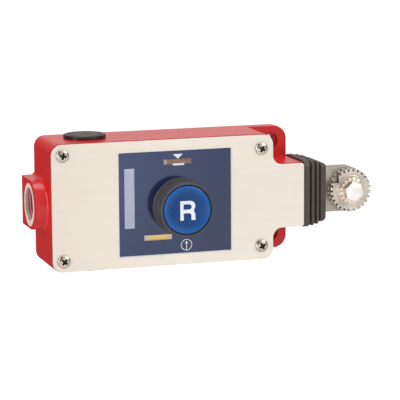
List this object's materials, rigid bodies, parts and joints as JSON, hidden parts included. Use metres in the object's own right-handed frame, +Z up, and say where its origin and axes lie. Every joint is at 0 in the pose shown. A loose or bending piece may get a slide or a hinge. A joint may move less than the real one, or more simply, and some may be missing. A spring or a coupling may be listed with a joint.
{
  "type": "rope pull switch",
  "caption": "Rope pull safety switch: sprung drawbar with a notched rope clamp, latched contacts, reset button, windows and cable entries.",
  "frame": {"origin": "centre of the rectangle of mounting holes, on the back face that goes against the machine", "axes": "+X along the rope, out of the neck; -Y out of the cover, towards the person who reads it; +Z up"},
  "size_m": [0.1961, 0.054, 0.0752],
  "materials": {
    "red_paint": "semi-gloss red enamel on a zinc casting",
    "seal_rubber": "black moulded rubber",
    "cover_steel": "stainless sheet, brushed along the rope",
    "screw_steel": "bright zinc-plated steel",
    "label_film": "slate blue printed sheet",
    "clear_lens": "clear window",
    "plug_plastic": "red-brown moulded plastic",
    "bush_bronze": "plain bronze",
    "earth_brass": "bright brass",
    "guard_rubber": "dark grey-brown moulded rubber",
    "button_blue": "blue moulded plastic, dished face",
    "stem_steel": "turned steel",
    "spring_steel": "drawn spring wire",
    "sheet_steel": "zinc-plated sheet",
    "latch_plastic": "off-white acetal",
    "flag_yellow": "yellow with pale ends",
    "flag_orange": "orange-brown with a pale zone",
    "block_plastic": "black moulded thermoset",
    "contact_brass": "bright brass with silvered tips",
    "plunger_plastic": "red acetal",
    "drawbar_steel": "satin nickel-plated steel",
    "clamp_steel": "bright nickel-plated steel",
    "bellows_rubber": "dark brown-grey moulded rubber"
  },
  "bodies": {
    "root": {"housing": "red_paint", "cover_gasket": "seal_rubber", "front_cover": "cover_steel", "cover_screws": "screw_steel", "label_plate": "label_film", "window_lenses": "clear_lens", "top_plug": "plug_plastic", "bottom_plug": "plug_plastic", "plug_seals": "seal_rubber", "shaft_bush": "bush_bronze", "wiper_seal": "seal_rubber", "earth_clamp": "earth_brass", "earth_screw": "screw_steel", "button_guard": "guard_rubber", "ring_nut": "screw_steel", "reset_spring": "spring_steel", "guide_plate": "sheet_steel", "upper_contact_block": "block_plastic", "lower_contact_block": "block_plastic", "upper_fixed_contacts": "contact_brass", "lower_fixed_contacts": "contact_brass", "terminal_screws": "screw_steel", "block_screws": "screw_steel", "upper_contact_spring": "spring_steel", "lower_contact_spring": "spring_steel", "main_spring": "spring_steel", "bellows": "bellows_rubber"},
    "drawbar": {"drawbar": "drawbar_steel", "cam_slide": "latch_plastic", "cam_pin": "stem_steel", "retaining_ring": "stem_steel", "indicator_arm": "sheet_steel", "tension_flag": "flag_orange", "spring_plate": "sheet_steel", "clamp_nut": "clamp_steel"},
    "rope_clamp": {"clamp_disc": "clamp_steel", "lock_washer": "clamp_steel", "clamp_bolt": "clamp_steel"},
    "reset_button": {"reset_cap": "button_blue", "reset_stem": "stem_steel"},
    "latch": {"latch_slide": "latch_plastic", "state_flag": "flag_yellow"},
    "upper_contact": {"upper_plunger": "plunger_plastic", "upper_bridge": "contact_brass"},
    "lower_contact": {"lower_plunger": "plunger_plastic", "lower_bridge": "contact_brass"}
  },
  "joints": [
    {"name": "drawbar_pull", "type": "slide", "parent": "root", "child": "drawbar", "axis": [1, 0, 0], "range_m": [0, 0.016], "stiffness_N_per_m": 6000, "springref_m": -0.01, "deforming": ["main_spring", "bellows", "upper_contact_spring", "lower_contact_spring"]},
    {"name": "clamp_open", "type": "slide", "parent": "drawbar", "child": "rope_clamp", "axis": [0, -1, 0], "range_m": [0, 0.003]},
    {"name": "reset_press", "type": "slide", "parent": "root", "child": "reset_button", "axis": [0, 1, 0], "range_m": [0, 0.004], "stiffness_N_per_m": 800, "springref_m": -0.005, "deforming": ["reset_spring"]},
    {"name": "latch_shift", "type": "slide", "parent": "root", "child": "latch", "axis": [0, 0, -1], "range_m": [0, 0.003]},
    {"name": "upper_contact_lift", "type": "slide", "parent": "root", "child": "upper_contact", "axis": [0, 0, 1], "range_m": [0, 0.0032]},
    {"name": "lower_contact_lift", "type": "slide", "parent": "root", "child": "lower_contact", "axis": [0, 0, 1], "range_m": [0, 0.0032]}
  ],
  "couplings": [
    {"joint": "latch_shift", "follows": "reset_press", "ratio": 0.75},
    {"joint": "upper_contact_lift", "follows": "drawbar_pull", "ratio": 0.2},
    {"joint": "lower_contact_lift", "follows": "drawbar_pull", "ratio": 0.2}
  ]
}
